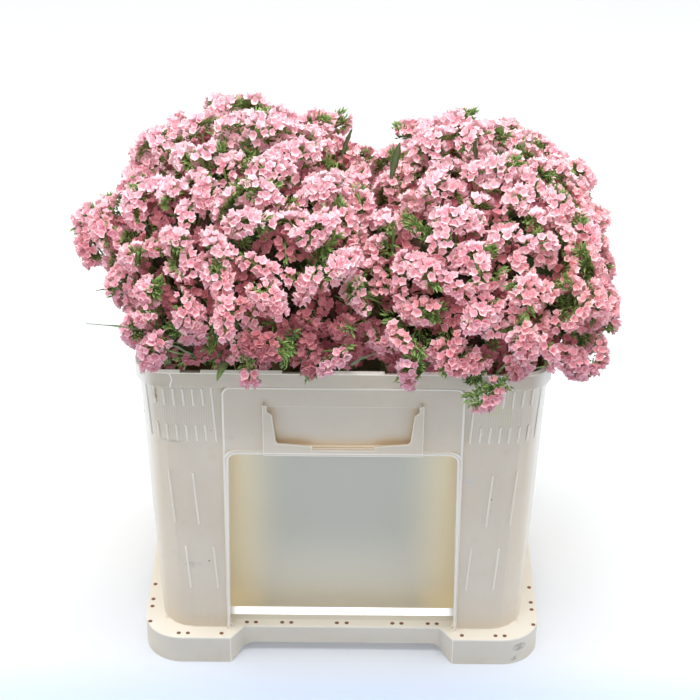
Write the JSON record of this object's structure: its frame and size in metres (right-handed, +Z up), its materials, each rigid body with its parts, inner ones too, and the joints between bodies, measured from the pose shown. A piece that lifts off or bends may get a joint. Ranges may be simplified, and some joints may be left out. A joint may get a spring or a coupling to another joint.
{
  "type": "dried statice",
  "caption": "Dense clumps of pink papery statice on branching stems, standing in a tapered double-walled moulded flower crate with a window and a card holder on each long side.",
  "frame": {"origin": "on the floor, under the middle of the bounding box of crate and flowers", "axes": "+Z up; +X along the crate's long side, to the right as seen from the front; the front, with the window, faces -Y"},
  "size_m": [0.5306, 0.3822, 0.5298],
  "materials": {
    "moulded_plastic": "cream white, semi-matt, scuffed and lightly stained",
    "florets": "papery salmon-pink calyces with paler rims, on green winged stems"
  },
  "bodies": {
    "root": {"crate_tub": "moulded_plastic", "crate_skirt": "moulded_plastic", "crate_base": "moulded_plastic", "spray_01": "florets", "spray_02": "florets", "spray_03": "florets", "spray_04": "florets", "spray_05": "florets", "spray_06": "florets", "spray_07": "florets", "spray_08": "florets", "spray_09": "florets", "spray_10": "florets", "spray_11": "florets", "spray_12": "florets", "spray_13": "florets", "spray_14": "florets", "spray_15": "florets", "spray_16": "florets", "spray_17": "florets", "spray_18": "florets", "spray_19": "florets", "spray_20": "florets"}
  },
  "joints": []
}
